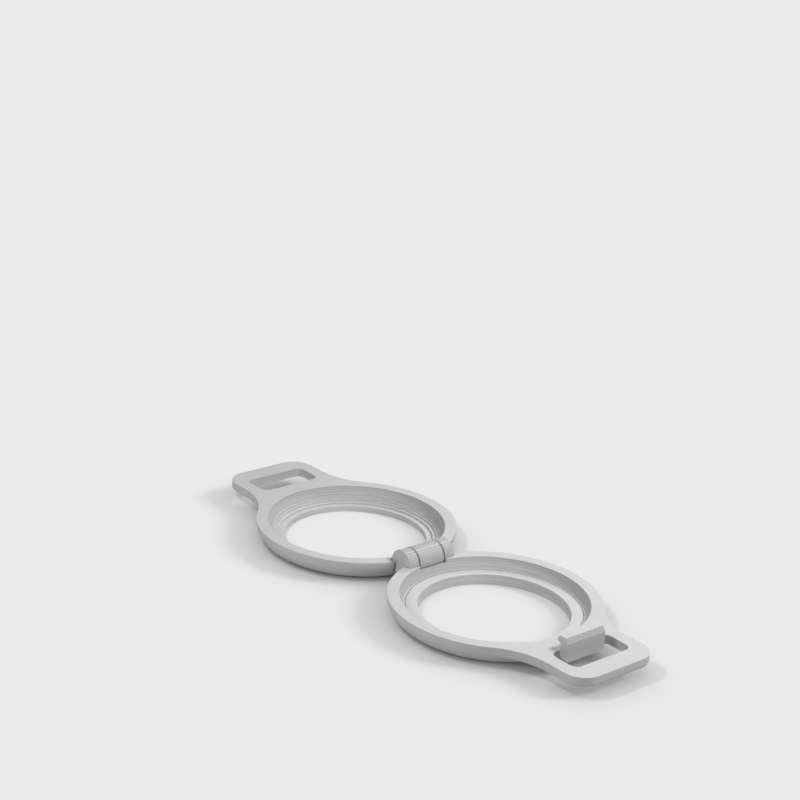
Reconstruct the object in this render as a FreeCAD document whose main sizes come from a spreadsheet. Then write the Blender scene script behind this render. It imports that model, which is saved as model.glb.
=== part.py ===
import FreeCAD, Part
import Sketcher
import os
import re

# Folding holder for a coin-shaped tracker tag, printed in thin layers.
# Two round halves lie open side by side and fold shut like a book about a three-knuckle hinge.
# Each half has a dished seat with a window in its floor, and a lug with a strap slot.
# A sprung catch stands in one slot and hooks over the other lug when the halves are shut.
# X runs across both halves, Y along the hinge and Z up. The origin is under the hinge, on the floor.

doc = FreeCAD.newDocument("tag_holder")

# Driving dimensions in millimetres, each one set by itself.
SIZES = {
    "tag_radius": 15.95,       # the coin tag that the holder is made for
    "tag_clearance": 0.25,     # room between the tag's edge and the mouth of the seat
    "rim_wall": 2.1,           # ring wall at the rim
    "half_height": 3.9,        # one half, floor to rim
    "floor_thickness": 1.05,   # floor plate round the window
    "seat_width": 3.23,        # from the mouth of the seat in to the window
    "bowl_rise": 0.3,          # centre of the dished wall's arc, above the rim
    "underside_round": 3.6,    # rounded outer edge of the underside
    "layer_height": 0.31,      # height of the printed terraces
    "ring_gap": 0.8,           # between the two rings at the hinge line
    "spacer_thickness": 0.85,  # flat ring that levels one seat
    "spacer_gap": 0.1,         # between that ring and the dished wall
    "spacer_ledge": 0.08,      # floor left showing inside that ring
    "neck": 1.4,               # lug between the ring and the strap slot
    "slot_width": 5.85,
    "slot_length": 12.7,
    "slot_corner": 1.3,
    "end_bar": 3.8,            # lug beyond the slot
    "side_bar": 2.55,          # lug on each side of the slot
    "lug_thickness": 1.6,
    "lug_corner": 3.85,
    "lug_blend": 13.0,         # hollow curve from the ring into the lug
    "lug_step": 0.12,          # how far the lug's lowest layer stands back
    "barrel_radius": 2.45,
    "middle_length": 5.3,      # middle knuckle, on the lid
    "outer_length": 2.05,      # each outer knuckle, on the base
    "knuckle_gap": 0.4,        # between neighbouring knuckles
    "notch_gap": 0.2,          # round a knuckle, in the other half's ring
    "rim_gap": 0.1,            # left between the two rims when shut
    "pin_radius": 0.9,
    "pin_cover": 0.6,          # wall over each end of the pin
    "pin_bevel": 0.2,
    "pin_fit": 0.02,           # round the pin in the outer knuckles
    "pin_play": 0.08,          # round the pin in the middle knuckle
    "catch_thickness": 1.75,
    "catch_side_gap": 2.1,     # between the catch and each end of its slot
    "catch_corner": 0.5,       # lower corners of the catch's foot
    "catch_clearance": 0.1,    # from the catch's shank to the lid's slot, and under the lip
    "lip_reach": 0.65,         # lip, past the edge of the lid's slot
    "lip_sink": 0.05,          # tip of the lip, below the lid's outer face when shut
    "lip_drop": 0.43,          # how far the lip's underside falls from its tip to the shank
    "lip_height": 0.93,
    "lip_slope": 0.45,         # how far the nose leans back over the lip's height
    "catch_slope": 0.78,       # height of the stepped front edge of the catch's head
    "catch_setback": 0.5,      # how far that edge steps back
}

sheet = doc.addObject("Spreadsheet::Sheet", "Sizes")
for row, (alias, value) in enumerate(SIZES.items(), start=1):
    sheet.set(f"A{row}", alias)
    sheet.set(f"B{row}", str(value))
    sheet.setAlias(f"B{row}", alias)
doc.recompute()

# Sizes that follow from the driving ones, as formulas.
MOUTH = "(tag_radius + tag_clearance)"
RING = f"({MOUTH} + rim_wall)"
RING_X = f"({RING} + ring_gap / 2)"
WINDOW = f"({MOUTH} - seat_width)"
BOWL_DEPTH = "(half_height - floor_thickness)"
BOWL_ARC = f"({BOWL_DEPTH} + bowl_rise)"
BOWL_INSET = f"sqrt(pow({BOWL_ARC}; 2) - pow(bowl_rise; 2))"
LUG_HALF = "(slot_length / 2 + side_bar)"
LUG_LOW = "(half_height - lug_thickness)"
SLOT_IN = f"({RING_X} + {RING} + neck)"
SLOT_OUT = f"({SLOT_IN} + slot_width)"
LUG_END = f"({SLOT_OUT} + end_bar)"
BLEND_RUN = f"sqrt(pow({RING} + lug_blend; 2) - pow({LUG_HALF} + lug_blend; 2))"
BLEND_X = f"({RING_X} + {BLEND_RUN})"
BLEND_TOUCH = f"({RING} * ({LUG_HALF} + lug_blend) / ({RING} + lug_blend))"
AXIS_Z = "(half_height + rim_gap / 2)"
MIDDLE_HALF = "(middle_length / 2)"
OUTER_START = f"({MIDDLE_HALF} + knuckle_gap)"
BARREL_HALF = f"({OUTER_START} + outer_length)"
PIN_HALF = f"({BARREL_HALF} - pin_cover)"
CATCH_WIDTH = "(slot_length - 2 * catch_side_gap)"
LIP_TIP_X = f"({SLOT_IN} - lip_reach)"
LIP_TIP_Z = "(half_height + rim_gap + lug_thickness - lip_sink)"
LIP_FALL = "(lip_drop / (lip_reach + catch_clearance))"

# Cutters run past the face that they open by this much.
OVERCUT = "layer_height"

# A step of the seat or of the spacer that is thinner than this, in millimetres, is left out.
THINNEST_STEP = 1e-3

# Share of the seat's layers, from the floor up, that show as terraces.
STEPPED_SHARE = 0.45

# How a sketch numbers a curve's points, and its X axis, which starts at the sketch's origin.
START = 1
END = 2
CENTRE = 3
X_AXIS = -1

SIZE_WORD = re.compile(r"\b(" + "|".join(SIZES) + r")\b")


def formula(text):
    """A formula in plain size names, written for the sheet's cells."""
    return SIZE_WORD.sub(r"Sizes.\1", text)


def value_of(text):
    """The present value of a formula."""
    return float(sheet.evalExpression(formula(text)))


def bind(item, **formulas):
    """Tie properties of an item to formulas; x, y and z place it."""
    for name, text in formulas.items():
        path = f"Placement.Base.{name}" if name in ("x", "y", "z") else name
        item.setExpression(path, formula(text))
    return item


def box(name, x, y, z, length, width, height):
    return bind(doc.addObject("Part::Box", name),
                x=x, y=y, z=z, Length=length, Width=width, Height=height)


def post(name, x, y, z, radius, height):
    """An upright cylinder."""
    return bind(doc.addObject("Part::Cylinder", name), x=x, y=y, z=z, Radius=radius, Height=height)


def cone(name, x, y, z, low_radius, high_radius, height):
    """An upright cone without its tip."""
    return bind(doc.addObject("Part::Cone", name), x=x, y=y, z=z,
                Radius1=low_radius, Radius2=high_radius, Height=height)


def rod(name, y, radius, length):
    """A cylinder along the hinge axis, from y towards +Y."""
    item = doc.addObject("Part::Cylinder", name)
    item.Placement.Rotation = FreeCAD.Rotation(FreeCAD.Vector(1, 0, 0), -90)
    return bind(item, x="0", y=y, z=AXIS_Z, Radius=radius, Height=length)


def fuse(name, pieces):
    item = doc.addObject("Part::MultiFuse", name)
    item.Shapes = pieces
    item.Refine = True
    return item


def combine(kind, name, base, tool):
    """A Part::Cut or Part::Common of two items."""
    item = doc.addObject(kind, name)
    item.Base = base
    item.Tool = tool
    item.Refine = True
    return item


def mirrored(name, source):
    """The same shape on the other side of the hinge."""
    item = doc.addObject("Part::Mirroring", name)
    item.Source = source
    item.Normal = FreeCAD.Vector(1, 0, 0)
    return item


def rounded_slab(name, low_x, high_x, half_width, corner, low_z, height):
    """A flat slab, symmetric about the X axis, with four round corners."""
    run = f"{high_x} - {low_x}"
    pieces = [
        box(f"{name}_long", low_x, f"{corner} - {half_width}", low_z,
            run, f"2 * ({half_width} - {corner})", height),
        box(f"{name}_wide", f"{low_x} + {corner}", f"-{half_width}", low_z,
            f"{run} - 2 * {corner}", f"2 * {half_width}", height),
    ]
    for end, x in (("in", f"{low_x} + {corner}"), ("out", f"{high_x} - {corner}")):
        for side, sign in (("near", "-1"), ("far", "1")):
            y = f"{sign} * ({half_width} - {corner})"
            pieces.append(post(f"{name}_{end}_{side}", x, y, low_z, corner, height))
    return fuse(name, pieces)


def plane_of(body, role):
    return next(item for item in body.Origin.OriginFeatures if item.Role == role)


def sketch_on(body, name, role):
    sketch = body.newObject("Sketcher::SketchObject", name)
    sketch.AttachmentSupport = [(plane_of(body, role), "")]
    sketch.MapMode = "FlatFace"
    return sketch


def circle_sketch(body, name, role, radius, centre_x=None):
    """A circle on the sketch's X axis, or at its origin where no centre is given."""
    sketch = sketch_on(body, name, role)
    start = FreeCAD.Vector(value_of(centre_x) if centre_x else 0, 0, 0)
    ring = sketch.addGeometry(Part.Circle(start, FreeCAD.Vector(0, 0, 1), value_of(radius)))
    size = sketch.addConstraint(Sketcher.Constraint("Radius", ring, value_of(radius)))
    sketch.setExpression(f"Constraints[{size}]", formula(radius))
    if centre_x:
        sketch.addConstraint(Sketcher.Constraint("PointOnObject", ring, CENTRE, X_AXIS))
        place = sketch.addConstraint(Sketcher.Constraint("DistanceX", X_AXIS, START, ring, CENTRE, start.x))
        sketch.setExpression(f"Constraints[{place}]", formula(centre_x))
    else:
        sketch.addConstraint(Sketcher.Constraint("Coincident", ring, CENTRE, X_AXIS, START))
    return sketch


def outline_sketch(body, name, role, points):
    """A closed outline of straight edges. Each corner is a pair of formulas, across and up."""
    sketch = sketch_on(body, name, role)
    corners = [FreeCAD.Vector(value_of(across), value_of(up), 0) for across, up in points]
    for start, end in zip(corners, corners[1:] + corners[:1]):
        sketch.addGeometry(Part.LineSegment(start, end))
    for edge, (across, up) in enumerate(points):
        follower = (edge + 1) % len(points)
        sketch.addConstraint(Sketcher.Constraint("Coincident", edge, END, follower, START))
        for direction, text in (("DistanceX", across), ("DistanceY", up)):
            size = sketch.addConstraint(
                Sketcher.Constraint(direction, X_AXIS, START, edge, START, value_of(text)))
            sketch.setExpression(f"Constraints[{size}]", formula(text))
    return sketch


def pad(body, name, sketch, length, both_ways=False):
    item = body.newObject("PartDesign::Pad", name)
    item.Profile = sketch
    item.Midplane = both_ways
    return bind(item, Length=length)


def dress(body, kind, name, base, edges, **formulas):
    """A PartDesign::Fillet or PartDesign::Chamfer on chosen edges of the base feature."""
    item = body.newObject(kind, name)
    item.Base = (base, edges)
    return bind(item, **formulas)


def edges_where(feature, keep):
    """Names of the edges that pass the test."""
    return [f"Edge{number}" for number, edge in enumerate(feature.Shape.Edges, start=1) if keep(edge)]


def is_round(edge):
    return isinstance(edge.Curve, Part.Circle)


# The ring blank: a disc with its underside rounded off.
disc = doc.addObject("PartDesign::Body", "disc")
disc_pad = pad(disc, "disc_pad", circle_sketch(disc, "disc_outline", "XY_Plane", RING, RING_X), "half_height")
doc.recompute()
half_way_up = value_of("half_height") / 2
bottom_edge = edges_where(disc_pad, lambda edge: is_round(edge) and edge.Curve.Center.z < half_way_up)
dress(disc, "PartDesign::Fillet", "disc_underside", disc_pad, bottom_edge,
      Radius="min(underside_round; half_height - layer_height)")


def lug_layer(name, inset, low_z, height):
    """One layer of the lug: a rounded plate, and hollow blends where it leaves the ring."""
    plate = rounded_slab(f"{name}_plate", RING_X, f"({LUG_END} - {inset})", f"({LUG_HALF} - {inset})",
                         f"(lug_corner - {inset})", low_z, height)
    block = box(f"{name}_block", RING_X, f"-{BLEND_TOUCH}", low_z,
                BLEND_RUN, f"2 * {BLEND_TOUCH}", height)
    blends = [post(f"{name}_blend_{side}", BLEND_X, f"{sign} * ({LUG_HALF} + lug_blend)",
                   f"{low_z} - {OVERCUT}", f"lug_blend + {inset}", f"{height} + 2 * {OVERCUT}")
              for side, sign in (("near", "-1"), ("far", "1"))]
    gusset = combine("Part::Cut", f"{name}_gusset", block, fuse(f"{name}_blends", blends))
    return fuse(name, [plate, gusset])


# The lug's lowest printed layer stands back a little from the rest.
lug_low = lug_layer("lug_low", "lug_step", LUG_LOW, "layer_height")
lug_high = lug_layer("lug_high", "0", f"({LUG_LOW} + layer_height)", "(lug_thickness - layer_height)")

slot = rounded_slab("slot", SLOT_IN, SLOT_OUT, "slot_length / 2", "slot_corner",
                    f"{LUG_LOW} - {OVERCUT}", f"lug_thickness + 2 * {OVERCUT}")


# The dished seat rises from the floor to the mouth along one arc. Its lower layers show as printed
# terraces, as far as the spacer needs them at least; the steeper ones above run into a smooth wall.
bowl_layers = max(1, round(value_of(f"{BOWL_DEPTH} / layer_height")))
BOWL_STEP = f"({BOWL_DEPTH} / {bowl_layers})"
spacer_layers = int(value_of(f"spacer_thickness / {BOWL_STEP}")) + 1
stepped_layers = min(bowl_layers, max(round(STEPPED_SHARE * bowl_layers), spacer_layers))


def bowl_radius(depth):
    """Radius of the dished wall at a depth below the rim."""
    return f"({MOUTH} - {BOWL_INSET} + sqrt(pow({BOWL_ARC}; 2) - pow({depth} + bowl_rise; 2)))"


def terrace(name, layer, narrower="0", height=None):
    """One step of the seat as a cutter, or as a filling that is a little narrower."""
    middle = f"({BOWL_DEPTH} * {1 - (layer + 0.5) / bowl_layers})"
    return post(name, RING_X, "0", f"floor_thickness + {layer} * {BOWL_STEP}",
                f"{bowl_radius(middle)} - {narrower}", height or BOWL_STEP)


def wall_band(name, layer):
    """One layer of the smooth wall above the terraces, as a cutter."""
    low = f"({BOWL_DEPTH} * {1 - layer / bowl_layers})"
    high = f"({BOWL_DEPTH} * {1 - (layer + 1) / bowl_layers})"
    return cone(name, RING_X, "0", f"floor_thickness + {layer} * {BOWL_STEP}",
                bowl_radius(low), bowl_radius(high), BOWL_STEP)


bowl_steps = [terrace(f"bowl_step_{layer}", layer) for layer in range(stepped_layers)]
bowl_steps += [wall_band(f"bowl_band_{layer}", layer) for layer in range(stepped_layers, bowl_layers)]
mouth_opening = post("mouth_opening", RING_X, "0", "half_height", MOUTH, OVERCUT)
window = post("window", RING_X, "0", f"-{OVERCUT}", WINDOW, f"half_height + {OVERCUT}")
hollow = fuse("hollow", bowl_steps + [mouth_opening, window, slot])

half_solid = fuse("half_solid", [disc, lug_low, lug_high])
half = combine("Part::Cut", "half", half_solid, hollow)
other_half = mirrored("other_half", half)


# The hinge barrel lies along Y, and each half keeps its own knuckles of it.
barrel = rod("barrel", f"-{BARREL_HALF}", "barrel_radius", f"2 * {BARREL_HALF}")
NOTCH = "(barrel_radius + notch_gap)"


def barrel_slice(name, half_length):
    """A block round the middle of the barrel, from -half_length to half_length along the hinge."""
    return box(name, f"-{NOTCH}", f"-{half_length}", f"{AXIS_Z} - {NOTCH}",
               f"2 * {NOTCH}", f"2 * {half_length}", f"2 * {NOTCH}")


def web(name, low_x, low_y, width):
    """Joins a knuckle to its ring, from the bottom of the barrel up to the rim."""
    return box(name, low_x, low_y, f"{AXIS_Z} - barrel_radius", "ring_gap / 2 + rim_wall", width,
               "barrel_radius - rim_gap / 2")


outer_knuckles = combine("Part::Cut", "outer_knuckles", barrel, barrel_slice("outer_split", OUTER_START))
outer_webs = [web("outer_web_near", "0", f"-{BARREL_HALF}", "outer_length"),
              web("outer_web_far", "0", OUTER_START, "outer_length")]
middle_knuckle = combine("Part::Common", "middle_knuckle", barrel, barrel_slice("middle_split", MIDDLE_HALF))
middle_web = web("middle_web", "-(ring_gap / 2 + rim_wall)", f"-{MIDDLE_HALF}", "middle_length")


# The base keeps the outer knuckles, with blind bores for the pin and a notch for the lid's knuckle.
# The rim is cut down by two layers in front of that knuckle, so that no thin edge is left standing.
RELIEF = f"(2 * {BOWL_STEP})"
middle_notch = fuse("middle_notch", [
    rod("middle_round", f"-{OUTER_START}", NOTCH, f"2 * {OUTER_START}"),
    box("middle_relief", "0", f"-{OUTER_START}", f"half_height - {RELIEF}",
        "2 * barrel_radius", f"2 * {OUTER_START}", f"{RELIEF} + {OVERCUT}")])
base_notched = combine("Part::Cut", "base_notched", half, middle_notch)
base_knuckled = fuse("base_knuckled", [base_notched, outer_knuckles] + outer_webs)
base_shell = combine("Part::Cut", "base_shell", base_knuckled,
                     rod("blind_bores", f"-{PIN_HALF}", "pin_radius + pin_fit", f"2 * {PIN_HALF}"))

# The edge of the lid's slot slopes where the catch's lip comes down on it.
# Shut, the lid is upside down, so its outer face is the lowest face here.
land_run = f"((catch_clearance + lip_sink) / {LIP_FALL})"
land_depth = f"({LIP_FALL} * ({land_run} + lip_reach))"
land_side = [
    (f"{LIP_TIP_X} - {land_run}", LUG_LOW),
    (SLOT_IN, f"{LUG_LOW} + {land_depth}"),
    (f"{SLOT_IN} + {OVERCUT}", f"{LUG_LOW} + {land_depth}"),
    (f"{SLOT_IN} + {OVERCUT}", f"{LUG_LOW} - {OVERCUT}"),
    (f"{LIP_TIP_X} - {land_run}", f"{LUG_LOW} - {OVERCUT}"),
]
catch_land = doc.addObject("PartDesign::Body", "catch_land")
pad(catch_land, "land_pad", outline_sketch(catch_land, "land_side", "XZ_Plane", land_side),
    f"{CATCH_WIDTH} + 2 * catch_clearance", both_ways=True)
lid_land = mirrored("lid_land", catch_land)

# The lid keeps the middle knuckle, bored through, and is notched round the outer knuckles.
side_notch = f"{BARREL_HALF} + knuckle_gap - {MIDDLE_HALF}"
lid_cuts = fuse("lid_cuts", [
    rod("side_notch_near", f"-({BARREL_HALF} + knuckle_gap)", NOTCH, side_notch),
    rod("side_notch_far", MIDDLE_HALF, NOTCH, side_notch),
    lid_land])
lid_notched = combine("Part::Cut", "lid_notched", other_half, lid_cuts)
lid_knuckled = fuse("lid_knuckled", [lid_notched, middle_knuckle, middle_web])
lid_shell = combine("Part::Cut", "lid_shell", lid_knuckled,
                    rod("through_bore", f"-{OUTER_START}", "pin_radius + pin_play", f"2 * {OUTER_START}"))


# The hinge pin, captive in the blind bores.
hinge_pin = doc.addObject("PartDesign::Body", "hinge_pin")
pin_pad = pad(hinge_pin, "pin_pad", circle_sketch(hinge_pin, "pin_section", "XZ_Plane", "pin_radius"),
              f"2 * ({PIN_HALF} - pin_fit)", both_ways=True)
doc.recompute()
dress(hinge_pin, "PartDesign::Chamfer", "pin_ends", pin_pad, edges_where(pin_pad, is_round), Size="pin_bevel")
bind(hinge_pin, z=AXIS_Z)


# The spacer ring fills the lower terraces of the base's seat and gives the tag a flat shelf.
full_layers = int(value_of(f"(spacer_thickness + {THINNEST_STEP}) / {BOWL_STEP}"))
spacer_steps = [terrace(f"spacer_step_{layer}", layer, "spacer_gap") for layer in range(full_layers)]
last_height = f"spacer_thickness - {full_layers} * {BOWL_STEP}"
if value_of(last_height) > THINNEST_STEP:
    spacer_steps.append(terrace("spacer_top", full_layers, "spacer_gap", last_height))
spacer_bore = post("spacer_bore", RING_X, "0", f"floor_thickness - {OVERCUT}",
                   f"{WINDOW} + spacer_ledge", f"spacer_thickness + 2 * {OVERCUT}")
spacer_solid = spacer_steps[0] if len(spacer_steps) == 1 else fuse("spacer_solid", spacer_steps)
spacer_ring = combine("Part::Cut", "spacer_ring", spacer_solid, spacer_bore)


def catch_outline():
    """The catch's side view, from its foot up the back, round the lip and down the stepped front."""
    back = f"({SLOT_IN} + catch_clearance)"
    front = f"({SLOT_IN} + catch_thickness)"
    top = f"({LIP_TIP_Z} + lip_height)"
    points = [(SLOT_IN, LUG_LOW), (SLOT_IN, "half_height"), (back, "half_height"),
              (back, f"{LIP_TIP_Z} - lip_drop"), (LIP_TIP_X, LIP_TIP_Z), (f"{LIP_TIP_X} + lip_slope", top)]
    steps = max(1, round(value_of("catch_slope / layer_height")))
    for step in range(steps):
        inset = f"catch_setback * {1 - step / steps}"
        for level in (step / steps, (step + 1) / steps):
            points.append((f"{front} - {inset}", f"{top} - catch_slope * {level}"))
    return points + [(front, f"{top} - catch_slope"), (front, LUG_LOW)]


# The snap catch stands in the base's slot with its foot against the inner edge.
snap_catch = doc.addObject("PartDesign::Body", "snap_catch")
catch_pad = pad(snap_catch, "catch_pad",
                outline_sketch(snap_catch, "catch_side", "XZ_Plane", catch_outline()),
                CATCH_WIDTH, both_ways=True)
doc.recompute()


def is_foot_end(edge):
    """One of the two short edges under the ends of the catch."""
    along_hinge = edge.BoundBox.YLength
    return edge.BoundBox.ZMax < value_of(LUG_LOW) + THINNEST_STEP and along_hinge < THINNEST_STEP


dress(snap_catch, "PartDesign::Fillet", "catch_foot", catch_pad, edges_where(catch_pad, is_foot_end),
      Radius="catch_corner")

doc.recompute()

failed = [item.Name for item in doc.Objects if {"Invalid", "Error"} & set(item.State)]
if failed:
    raise RuntimeError(f"features that failed: {failed}")

SUB_PARTS = [base_shell, lid_shell, hinge_pin, spacer_ring, snap_catch]
for item in SUB_PARTS:
    if item.Shape.isNull() or not item.Shape.isValid() or len(item.Shape.Solids) != 1:
        raise RuntimeError(f"{item.Label} isn't one valid solid")

os.makedirs("parts", exist_ok=True)
for item in SUB_PARTS:
    item.Shape.exportStep(f"parts/{item.Label}.step")
    extent = item.Shape.optimalBoundingBox(True, False)
    print(f"{item.Label}: {item.Shape.Volume:.1f} mm3, "
          f"x {extent.XMin:.2f}..{extent.XMax:.2f}, y {extent.YMin:.2f}..{extent.YMax:.2f}, "
          f"z {extent.ZMin:.2f}..{extent.ZMax:.2f}")
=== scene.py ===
# %% [markdown]
# # A printed clamshell holder for a round tag
# The object is a small 3-D printed case, lying open on a table. Two shallow rings are joined by a
# barrel hinge, each ring has a lug with a slot for a strap, and one lug carries a spring catch.
# Every solid was made in CAD, so this lesson leaves the shapes alone. It gives them the surface of
# printed plastic, then sets up a plain table top and the lamps. The camera comes first.

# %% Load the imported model
import math

import bmesh
import bpy
from mathutils import Matrix, Vector


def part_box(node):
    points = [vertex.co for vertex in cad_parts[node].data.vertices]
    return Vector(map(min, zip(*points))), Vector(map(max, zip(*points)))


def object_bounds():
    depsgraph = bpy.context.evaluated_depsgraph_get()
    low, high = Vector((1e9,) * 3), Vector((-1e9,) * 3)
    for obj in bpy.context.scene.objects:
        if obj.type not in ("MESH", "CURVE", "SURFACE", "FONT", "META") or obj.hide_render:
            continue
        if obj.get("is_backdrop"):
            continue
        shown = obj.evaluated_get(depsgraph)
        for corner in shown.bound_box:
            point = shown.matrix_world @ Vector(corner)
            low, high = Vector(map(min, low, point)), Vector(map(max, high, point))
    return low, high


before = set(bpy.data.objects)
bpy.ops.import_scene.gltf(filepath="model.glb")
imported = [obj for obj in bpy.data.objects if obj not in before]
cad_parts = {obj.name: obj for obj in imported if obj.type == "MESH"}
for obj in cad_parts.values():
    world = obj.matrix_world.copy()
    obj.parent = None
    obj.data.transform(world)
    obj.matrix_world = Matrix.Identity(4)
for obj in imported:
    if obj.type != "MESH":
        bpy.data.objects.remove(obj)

MM = 0.001
print("pieces:", ", ".join(sorted(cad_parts)))

# %% [markdown]
# ## How large the holder is
# A finish can only be at the right scale if the real size is known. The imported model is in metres,
# so its box is measured first and kept. At the end it is compared with the finished model's box.

# %% Measure the CAD box
cad_low, cad_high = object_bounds()
holder_size = (cad_high - cad_low) / MM
print("holder:", " x ".join(f"{side:.1f}" for side in holder_size), "mm")

# %% [markdown]
# ## The camera
# The picture looks down on the holder at a shallow angle, with the base and its catch in front. A
# camera can be aimed with a Track To constraint, but a constraint can't hold a slight lean. So its
# three axes are worked out from an azimuth, an elevation and a roll, and put straight into its
# matrix. The long lens keeps the far ring nearly as large as the near one.

# %% Aim the camera
CAMERA_AZIMUTH = math.radians(48.739)
CAMERA_ELEVATION = math.radians(20.032)
CAMERA_ROLL = math.radians(3.844)
CAMERA_DISTANCE = 400.94 * MM
LOOK_AT = Vector((-63.570 * MM, 47.899 * MM, 3.994 * MM))
FOCAL_PIXELS = 1859.117
IMAGE_PIXELS = 800
SENSOR_WIDTH = 36.0

camera_back = Vector((
    math.sin(CAMERA_AZIMUTH) * math.cos(CAMERA_ELEVATION),
    -math.cos(CAMERA_AZIMUTH) * math.cos(CAMERA_ELEVATION),
    math.sin(CAMERA_ELEVATION),
))
level_right = Vector((math.cos(CAMERA_AZIMUTH), math.sin(CAMERA_AZIMUTH), 0))
level_up = camera_back.cross(level_right)
camera_right = math.cos(CAMERA_ROLL) * level_right + math.sin(CAMERA_ROLL) * level_up
camera_up = math.cos(CAMERA_ROLL) * level_up - math.sin(CAMERA_ROLL) * level_right

camera_data = bpy.data.cameras.new("camera")
camera_data.sensor_width = SENSOR_WIDTH
camera_data.lens = SENSOR_WIDTH * FOCAL_PIXELS / IMAGE_PIXELS
camera_data.clip_start = 10 * MM
camera_data.clip_end = 10
camera = bpy.data.objects.new("camera", camera_data)
camera_axes = Matrix((camera_right, camera_up, camera_back)).transposed()
camera.matrix_world = (
    Matrix.Translation(LOOK_AT + camera_back * CAMERA_DISTANCE) @ camera_axes.to_4x4()
)
bpy.context.scene.collection.objects.link(camera)
bpy.context.scene.camera = camera
print(f"camera: {camera_data.lens:.1f} mm lens, {CAMERA_DISTANCE / MM:.0f} mm from its target")

# %% [markdown]
# ## Helpers for node trees
# A material is a graph of nodes, and building one in code means the same two moves again and again:
# add a node with some settings, and join two sockets. Two small functions keep the recipes short.

# %% Add and join nodes
def add_node(tree, kind, label, inputs=None, **settings):
    """A new node of that kind, with its plain settings and its unlinked inputs filled in."""
    node = tree.nodes.new(kind)
    node.label = label
    for name, value in settings.items():
        setattr(node, name, value)
    for name, value in (inputs or {}).items():
        node.inputs[name].default_value = value
    return node


def join(tree, source, target):
    """Joins an output socket to an input socket."""
    tree.links.new(source, target)


def arithmetic(tree, operation, first, second, label):
    """A Math node; each operand is a socket or a number."""
    node = add_node(tree, "ShaderNodeMath", label, operation=operation)
    for socket, operand in zip(node.inputs, (first, second)):
        if isinstance(operand, (int, float)):
            socket.default_value = operand
        else:
            join(tree, operand, socket)
    return node.outputs[0]


def new_group(name, inputs, outputs):
    """An empty shader node group, with its inputs and outputs declared; returns its two end nodes."""
    tree = bpy.data.node_groups.new(name, "ShaderNodeTree")
    for socket_name, default in inputs.items():
        socket = tree.interface.new_socket(socket_name, in_out="INPUT", socket_type="NodeSocketFloat")
        socket.default_value = default
    for socket_name in outputs:
        tree.interface.new_socket(socket_name, in_out="OUTPUT", socket_type="NodeSocketFloat")
    return tree, tree.nodes.new("NodeGroupInput"), tree.nodes.new("NodeGroupOutput")


print("helpers: add_node, join, arithmetic, new_group")

# %% [markdown]
# ## Printed lines
# A printer lays down molten plastic in flat layers, and each one ends in a small step or bulge. Where a
# surface leans, the steps show as level lines. They could be modelled, but steps narrower than a pixel
# make a scratchy pattern in the picture. So they are a bump and a painted shade, both repeated with the
# height. The painted shade is darkest in the grooves, and it also darkens the surface as a whole, in place
# of the shadows that real steps would throw on one another. The nozzle drifts a little, so a noise bends
# the lines. A mask says where they show.

# %% Draw lines that repeat with the height
NOZZLE_DRIFT_SCALE = 700.0


def object_place(tree):
    """Object coordinates in one socket, and their X, Y and Z in three."""
    place = add_node(tree, "ShaderNodeTexCoord", "object coordinates").outputs["Object"]
    split = add_node(tree, "ShaderNodeSeparateXYZ", "place")
    join(tree, place, split.inputs[0])
    return place, split.outputs


def radius_from(tree, first, second, label):
    """How far a place is from an axis, from its two coordinates across that axis."""
    spoke = add_node(tree, "ShaderNodeCombineXYZ", label)
    join(tree, first, spoke.inputs["X"])
    join(tree, second, spoke.inputs["Y"])
    reach = add_node(tree, "ShaderNodeVectorMath", "radius", operation="LENGTH")
    join(tree, spoke.outputs["Vector"], reach.inputs[0])
    return reach.outputs["Value"]


def add_lines(tree, given, result, place, rise, mask):
    """Lines from -1 to 1 and the painted shade of their grooves, within 0 to 1; both zero outside the mask.
    """
    drift = add_node(
        tree, "ShaderNodeTexNoise", "nozzle drift", {"Scale": NOZZLE_DRIFT_SCALE, "Detail": 2.0}
    )
    join(tree, place, drift.inputs["Vector"])
    wander = arithmetic(tree, "SUBTRACT", drift.outputs["Fac"], 0.5, "drift about zero")
    wander = arithmetic(tree, "MULTIPLY", wander, given.outputs["Waver"], "drift of a line")

    passed = arithmetic(tree, "DIVIDE", rise, given.outputs["Line Spacing"], "lines passed")
    turns = arithmetic(tree, "MULTIPLY", passed, 2 * math.pi, "as an angle")
    turns = arithmetic(tree, "ADD", turns, wander, "uneven lines")
    line = arithmetic(tree, "SINE", turns, 0.0, "line")
    # Painted shade: the groove value below darkens the colour, most in the grooves; a contrast under 1
    # keeps it dark between them too.
    contrast = arithmetic(tree, "MULTIPLY", line, given.outputs["Contrast"], "how far a line stands out")
    groove = arithmetic(tree, "SUBTRACT", 1.0, contrast, "depth of a groove")
    groove = arithmetic(tree, "MULTIPLY", groove, 0.5, "within 0 to 1")
    join(tree, arithmetic(tree, "MULTIPLY", line, mask, "lines in the mask"), result.inputs["Line"])
    join(tree, arithmetic(tree, "MULTIPLY", groove, mask, "grooves in the mask"), result.inputs["Groove"])


print("helpers: object_place, radius_from, add_lines")

# %% [markdown]
# ## The lines of the seats
# The lower terraces of the two seats are real steps of the CAD solids. Above them the wall is steep, and
# its lines lie about 0.4 mm apart. It lies between two radii from the middle of a ring, the same for both
# rings, and higher than the spacer, which leaves out the round underside. The spacer's box gives the
# middle and the height. The painted shade darkens this wall as a whole, and a contrast under 1 makes the
# painted shade more even. The group reads Object coordinates, so the lines stay on the plastic when the
# lid turns over.

# %% Build the seat line group
spacer_low, spacer_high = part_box("spacer_ring")
RING_MIDDLE = (spacer_low.x + spacer_high.x) / 2
WALL_FOOT = spacer_high.z
WALL_INSIDE = 15.5 * MM
WALL_OUTSIDE = 16.19 * MM
SEAT_SPACING = 0.42 * MM


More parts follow.
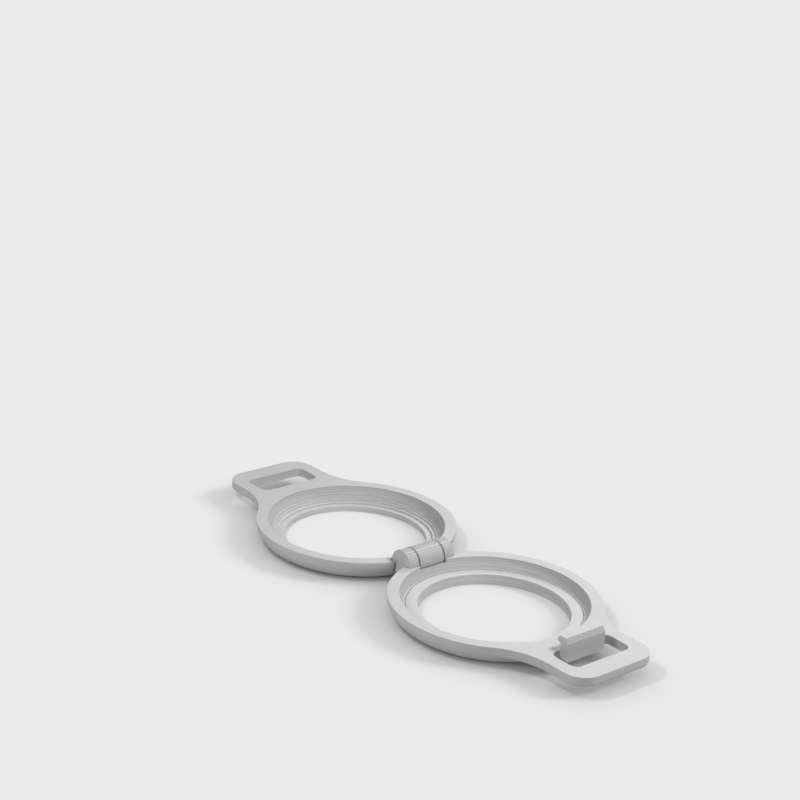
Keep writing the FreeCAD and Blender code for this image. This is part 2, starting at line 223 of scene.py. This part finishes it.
def build_seat_group():
    """Lines on the steep wall of each seat."""
    tree, given, result = new_group(
        "seat_lines", {"Line Spacing": SEAT_SPACING, "Waver": 0.6, "Contrast": 0.55}, ("Line", "Groove")
    )
    place, along = object_place(tree)
    side = arithmetic(tree, "ABSOLUTE", along["X"], 0.0, "distance from the hinge")
    side = arithmetic(tree, "SUBTRACT", side, RING_MIDDLE, "beyond the middle of the ring")
    reach = radius_from(tree, side, along["Y"], "out from the middle of the ring")
    beyond = arithmetic(tree, "GREATER_THAN", reach, WALL_INSIDE, "above the terraces")
    within = arithmetic(tree, "LESS_THAN", reach, WALL_OUTSIDE, "inside the mouth")
    ring = arithmetic(tree, "MULTIPLY", beyond, within, "between the radii")
    raised = arithmetic(tree, "GREATER_THAN", along["Z"], WALL_FOOT, "above the underside")
    mask = arithmetic(tree, "MULTIPLY", ring, raised, "steep wall only")
    add_lines(tree, given, result, place, along["Z"], mask)
    return tree


seat_group = build_seat_group()
print(f"group: {seat_group.name}, {RING_MIDDLE / MM:.2f} mm from the hinge")

# %% [markdown]
# ## The lines of the hinge barrel
# The barrel is printed lying down, so its lines run along it, widest apart near the top. Its mask is a
# radius too: only the skin of the barrel is that far from the hinge line. The third input of a Compare
# node says how far off it may be. The pin's box gives the height of the hinge line, and the radius is how
# far the base reaches past that line.

# %% Build the barrel line group
pin_low, pin_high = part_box("hinge_pin")
base_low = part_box("base_shell")[0]
HINGE_HEIGHT = (pin_low.z + pin_high.z) / 2
BARREL_RADIUS = -base_low.x
BARREL_HALF = 5.2 * MM
BARREL_SPACING = 0.31 * MM
SKIN_DEPTH = 0.06 * MM


def build_barrel_group():
    """Lines on the skin of the hinge barrel."""
    tree, given, result = new_group(
        "barrel_lines", {"Line Spacing": BARREL_SPACING, "Waver": 1.2, "Contrast": 1.0}, ("Line", "Groove")
    )
    place, along = object_place(tree)
    rise = arithmetic(tree, "SUBTRACT", along["Z"], HINGE_HEIGHT, "height over the hinge line")
    reach = radius_from(tree, along["X"], rise, "out from the hinge line")
    on_skin = arithmetic(tree, "COMPARE", reach, BARREL_RADIUS, "on the skin")
    on_skin.node.inputs[2].default_value = SKIN_DEPTH
    from_middle = arithmetic(tree, "ABSOLUTE", along["Y"], 0.0, "distance from the middle")
    within = arithmetic(tree, "LESS_THAN", from_middle, BARREL_HALF, "between its ends")
    mask = arithmetic(tree, "MULTIPLY", on_skin, within, "barrel only")
    add_lines(tree, given, result, place, rise, mask)
    return tree


barrel_group = build_barrel_group()
print(f"group: {barrel_group.name}, {BARREL_RADIUS / MM:.2f} mm round a line {HINGE_HEIGHT / MM:.2f} mm up")

# %% [markdown]
# ## The grain of matte plastic
# Between the lines the plastic isn't a mirror: it has a fine grain, and it cools a little unevenly, so
# its grey drifts over a few millimetres. Two Noise textures at two scales make both. The grain goes to
# the bump and the roughness, and the drift goes to the colour.

# %% Build the grain group
GRAIN_SIZE = 0.16 * MM
DRIFT_SIZE = 7.0 * MM


def build_grain_group():
    """A fine grain and a slow drift, each from 0 to 1."""
    tree, given, result = new_group(
        "plastic_grain", {"Grain Scale": 1 / GRAIN_SIZE, "Drift Scale": 1 / DRIFT_SIZE}, ("Grain", "Drift")
    )
    place = add_node(tree, "ShaderNodeTexCoord", "object coordinates")
    for output, scale, detail in (("Grain", "Grain Scale", 3.0), ("Drift", "Drift Scale", 2.0)):
        noise = add_node(tree, "ShaderNodeTexNoise", output.lower(), {"Detail": detail})
        join(tree, place.outputs["Object"], noise.inputs["Vector"])
        join(tree, given.outputs[scale], noise.inputs["Scale"])
        join(tree, noise.outputs["Fac"], result.inputs[output])
    return tree


grain_group = build_grain_group()
print("group:", grain_group.name, "with", len(grain_group.nodes), "nodes")

# %% [markdown]
# ## Two plastics from one recipe
# The shells, the catch and the spacer are printed from the same matte light-grey plastic. The hinge
# pin shows only in the slits between the knuckles, where shade falls, so it is a smooth rod without
# lines, coloured near-black as painted shade for those slits. One function makes both, because they
# differ in a few values. What is the same all over a surface is typed straight into the Principled
# shader, and only what varies comes through nodes. The bumps are chained: each Bump node tilts the
# normal that the one before it gave.

# %% Make the plastics
# The shade values paint shade into the colour: darker grooves, and a darker seat wall and barrel overall,
# in place of the shadows of unmodelled steps.
SEAT_LINES_AND_PAINTED_SHADE = {"group": seat_group, "depth": 0.006 * MM, "shade": 3.2}
BARREL_LINES_AND_PAINTED_SHADE = {"group": barrel_group, "depth": 0.014 * MM, "shade": 2.8}
GRAIN_DEPTH = 0.0002 * MM
ROUGHNESS_SWING = 0.07
PLASTIC_IOR = 1.46
PLASTIC_SPECULAR = 0.3


def chain_bump(tree, label, height, depth, normal):
    """A Bump node of that depth on top of an earlier normal, if there is one."""
    bump = add_node(tree, "ShaderNodeBump", label, {"Distance": depth})
    join(tree, height, bump.inputs["Height"])
    if normal:
        join(tree, normal, bump.inputs["Normal"])
    return bump.outputs["Normal"]


def plastic(name, dark, light, roughness, line_kinds):
    """A matte plastic whose grey runs from dark to light, with these kinds of printed lines and their
    painted groove shade.
    """
    material = bpy.data.materials.new(name)
    material.use_nodes = True
    tree = material.node_tree
    shader = tree.nodes["Principled BSDF"]
    shader.inputs["IOR"].default_value = PLASTIC_IOR
    shader.inputs["Specular IOR Level"].default_value = PLASTIC_SPECULAR

    grain = add_node(tree, "ShaderNodeGroup", "grain", node_tree=grain_group)
    tone = grain.outputs["Drift"]
    normal = None
    for kind in line_kinds:
        label = kind["group"].name.replace("_", " ")
        lines = add_node(tree, "ShaderNodeGroup", label, node_tree=kind["group"])
        # Painted shade: the grooves' value, times the shade value, is taken off the grey.
        painted_groove_shade = arithmetic(tree, "MULTIPLY", lines.outputs["Groove"], kind["shade"], "shade of the lines")
        tone = arithmetic(tree, "SUBTRACT", tone, painted_groove_shade, "darker where lines are")
        normal = chain_bump(tree, label, lines.outputs["Line"], kind["depth"], normal)

    grey = add_node(tree, "ShaderNodeMix", "grey", data_type="RGBA", clamp_factor=False)
    grey.inputs["A"].default_value = (dark, dark, dark, 1.0)
    grey.inputs["B"].default_value = (light, light, light, 1.0)
    join(tree, tone, grey.inputs["Factor"])
    join(tree, grey.outputs["Result"], shader.inputs["Base Color"])

    matte = add_node(
        tree, "ShaderNodeMapRange", "roughness",
        {"To Min": roughness - ROUGHNESS_SWING, "To Max": roughness + ROUGHNESS_SWING},
    )
    join(tree, grain.outputs["Grain"], matte.inputs["Value"])
    join(tree, matte.outputs["Result"], shader.inputs["Roughness"])

    normal = chain_bump(tree, "grain", grain.outputs["Grain"], GRAIN_DEPTH, normal)
    join(tree, normal, shader.inputs["Normal"])
    return material


printed_plastic = plastic(
    "printed_plastic_grey", dark=0.61, light=0.67, roughness=0.65, line_kinds=[SEAT_LINES_AND_PAINTED_SHADE, BARREL_LINES_AND_PAINTED_SHADE]
)
# The pin's near-black grey is painted shade for the slits between the knuckles.
pin_painted_shade = plastic("pin_painted_shade_dark", dark=0.07, light=0.09, roughness=0.5, line_kinds=[])
print("plastics:", printed_plastic.name, "and", pin_painted_shade.name)

# %% [markdown]
# ## Dress the solids
# The CAD solids keep their shapes, which already have the bowls' terraces, the barrel's knuckles and
# the steps of the catch. Each one only changes what is in its material slot.

# %% Put the plastics on the pieces
FINISHES = {
    "base_shell": printed_plastic,
    "lid_shell": printed_plastic,
    "spacer_ring": printed_plastic,
    "snap_catch": printed_plastic,
    "hinge_pin": pin_painted_shade,
}
for piece, finish in FINISHES.items():
    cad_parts[piece].material_slots[0].material = finish
    print(piece, "is", finish.name)

# %% [markdown]
# ## The table top
# The holder lies on a pale, even surface without an edge or a horizon. One large grid cell is enough.
# It takes the shadows that show how the rings lie. A white table would also throw light back up
# onto every wall, so only the camera and mirror-like rays see it white, through the Light Path node;
# light that bounces diffusely meets a darker table.

# %% Lay the table top
TABLE_REACH = 3.0
TABLE_SEEN = 0.84
TABLE_BOUNCE = 0.62

table_mesh = bpy.data.meshes.new("table_top")
table_shape = bmesh.new()
bmesh.ops.create_grid(table_shape, x_segments=1, y_segments=1, size=TABLE_REACH)
table_shape.to_mesh(table_mesh)
table_shape.free()
table_top = bpy.data.objects.new("table_top", table_mesh)
bpy.context.scene.collection.objects.link(table_top)
table_top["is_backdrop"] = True

table_paint = bpy.data.materials.new("table_paint")
table_paint.use_nodes = True
paint = table_paint.node_tree
paint.nodes.clear()
seen = add_node(paint, "ShaderNodeBsdfDiffuse", "seen", {"Color": (TABLE_SEEN,) * 3 + (1.0,)})
bounce = add_node(paint, "ShaderNodeBsdfDiffuse", "bounce", {"Color": (TABLE_BOUNCE,) * 3 + (1.0,)})
ray = add_node(paint, "ShaderNodeLightPath", "kind of ray")
direct = arithmetic(paint, "MAXIMUM", ray.outputs["Is Camera Ray"], ray.outputs["Is Glossy Ray"], "seen")
direct = arithmetic(paint, "MAXIMUM", direct, ray.outputs["Is Transmission Ray"], "seen or mirrored")
choice = add_node(paint, "ShaderNodeMixShader", "white where seen")
surface = add_node(paint, "ShaderNodeOutputMaterial", "surface")
join(paint, direct, choice.inputs["Fac"])
join(paint, bounce.outputs["BSDF"], choice.inputs[1])
join(paint, seen.outputs["BSDF"], choice.inputs[2])
join(paint, choice.outputs["Shader"], surface.inputs["Surface"])
table_mesh.materials.append(table_paint)
print("table top:", 2 * TABLE_REACH, "m square")

# %% [markdown]
# ## Which lamp lights what
# A photographer keeps a product and its white sheet under separate lamps, with screens between them,
# so that the sheet is evenly bright while the product keeps its shading. Light linking is Blender's
# screen: a lamp lights only the objects of its receiver collection, and everything still casts shadows.
# Here the table top is the sheet.

# %% Sort the objects for the lamps
def sorted_out(name, objects):
    """A collection of objects for light linking; it stays out of the scene's own tree."""
    collection = bpy.data.collections.new(name)
    for item in objects:
        collection.objects.link(item)
    return collection


holder_pieces = sorted_out("holder_pieces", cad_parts.values())
sheet_pieces = sorted_out("sheet_pieces", [table_top])

# %% [markdown]
# ## Lamps for the holder
# Three discs light the holder: one on the right, one behind it and one in front on the left. They are
# close, so the near lug is brighter than the far one. The rest comes from the sky and from the sheet.

# %% Set up the holder's lamps
LAMP_DISTANCE = 180 * MM
LAMP_WIDTH = 60 * MM


def around(azimuth, elevation):
    """A place at lamp distance from the origin, by its angle round from +X and its angle up, in degrees."""
    flat = LAMP_DISTANCE * math.cos(math.radians(elevation))
    return Vector((
        flat * math.cos(math.radians(azimuth)),
        flat * math.sin(math.radians(azimuth)),
        LAMP_DISTANCE * math.sin(math.radians(elevation)),
    ))


def place_lamp(name, data, place, receivers):
    """Stands a lamp there, turned to the origin under the hinge, to light only its receivers."""
    lamp = bpy.data.objects.new(name, data)
    lamp.location = place
    lamp.rotation_mode = "QUATERNION"
    lamp.rotation_quaternion = (-lamp.location).to_track_quat("-Z", "Y")
    lamp.light_linking.receiver_collection = receivers
    bpy.context.scene.collection.objects.link(lamp)
    print(f"{name}:", ", ".join(f"{side / MM:.0f}" for side in place), "mm from the origin")


def holder_lamp(name, azimuth, elevation, watts):
    """A disc of light on the holder."""
    data = bpy.data.lights.new(name, "AREA")
    data.shape = "DISK"
    data.size = LAMP_WIDTH
    data.energy = watts
    place_lamp(name, data, around(azimuth, elevation), holder_pieces)


holder_lamp("right_lamp", azimuth=30, elevation=52, watts=0.172)
holder_lamp("front_lamp", azimuth=270, elevation=42, watts=0.092)
holder_lamp("back_lamp", azimuth=120, elevation=42, watts=0.104)

# %% [markdown]
# ## Lamps for the sheet
# Three kinds of shadow lie on the sheet. Behind the rings it is pale and crisp, from a small lamp close
# by on the left, so it runs straight back from the lid but slants away from the base. In front it is
# softer, from a broader light on the right. A dark seam runs where the rings touch the sheet and keep
# out the wide light from above. A sun is equally strong everywhere, which keeps the sheet even, so the
# two broad lights are suns. But a sun's shadows are all parallel, so the crisp one comes from a lamp.
# On a flat sheet a lamp fades with the cube of the distance, and Ray Length to the third power makes
# up for that.

# %% Set up the sheet's lamps
SMALL_LAMP_PLACE = Vector((-14 * MM, -90 * MM, 142 * MM))
SMALL_LAMP_RADIUS = 2 * MM
SMALL_LAMP_WATTS = 0.086


def sheet_sun(name, azimuth, elevation, spread, strength):
    """A sun on the sheet, as broad as its spread in degrees."""
    data = bpy.data.lights.new(name, "SUN")
    data.angle = math.radians(spread)
    data.energy = strength
    place_lamp(name, data, around(azimuth, elevation), sheet_pieces)


def even_lamp(name, place, radius, watts):
    """A small lamp whose light on a flat sheet is the same at any distance."""
    data = bpy.data.lights.new(name, "POINT")
    data.shadow_soft_size = radius
    data.energy = watts
    data.use_nodes = True
    tree = data.node_tree
    path = add_node(tree, "ShaderNodeLightPath", "distance")
    heights = arithmetic(tree, "DIVIDE", path.outputs["Ray Length"], place.z, "distance in lamp heights")
    gain = arithmetic(tree, "POWER", heights, 3.0, "against the fading")
    join(tree, gain, tree.nodes["Emission"].inputs["Strength"])
    place_lamp(name, data, place, sheet_pieces)


even_lamp("small_lamp", SMALL_LAMP_PLACE, SMALL_LAMP_RADIUS, SMALL_LAMP_WATTS)
sheet_sun("soft_sun", azimuth=55, elevation=33, spread=20, strength=0.95)
sheet_sun("high_sun", azimuth=0, elevation=90, spread=160, strength=1.78)

# %% [markdown]
# ## The sky and the view
# A weak even sky fills the shadows. The Standard view transform shows a colour as it is written.

# %% Set the sky and the view
SKY_STRENGTH = 0.15

sky = bpy.data.worlds.new("sky")
sky.use_nodes = True
backdrop = sky.node_tree.nodes["Background"]
backdrop.inputs["Color"].default_value = (1.0, 1.0, 1.0, 1.0)
backdrop.inputs["Strength"].default_value = SKY_STRENGTH
bpy.context.scene.world = sky
bpy.context.scene.view_settings.view_transform = "Standard"
print("sky strength:", SKY_STRENGTH)

# %% [markdown]
# ## Check the size and finish
# A finish must not change what was built, so the finished model's box is measured, and its largest
# change from the CAD box is printed at the end.

# %% Compare the boxes and finish
shown_low, shown_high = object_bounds()
box_change = max((shown_high - cad_high).length, (shown_low - cad_low).length)
print(f"largest change of the box: {box_change / MM:.3f} mm")
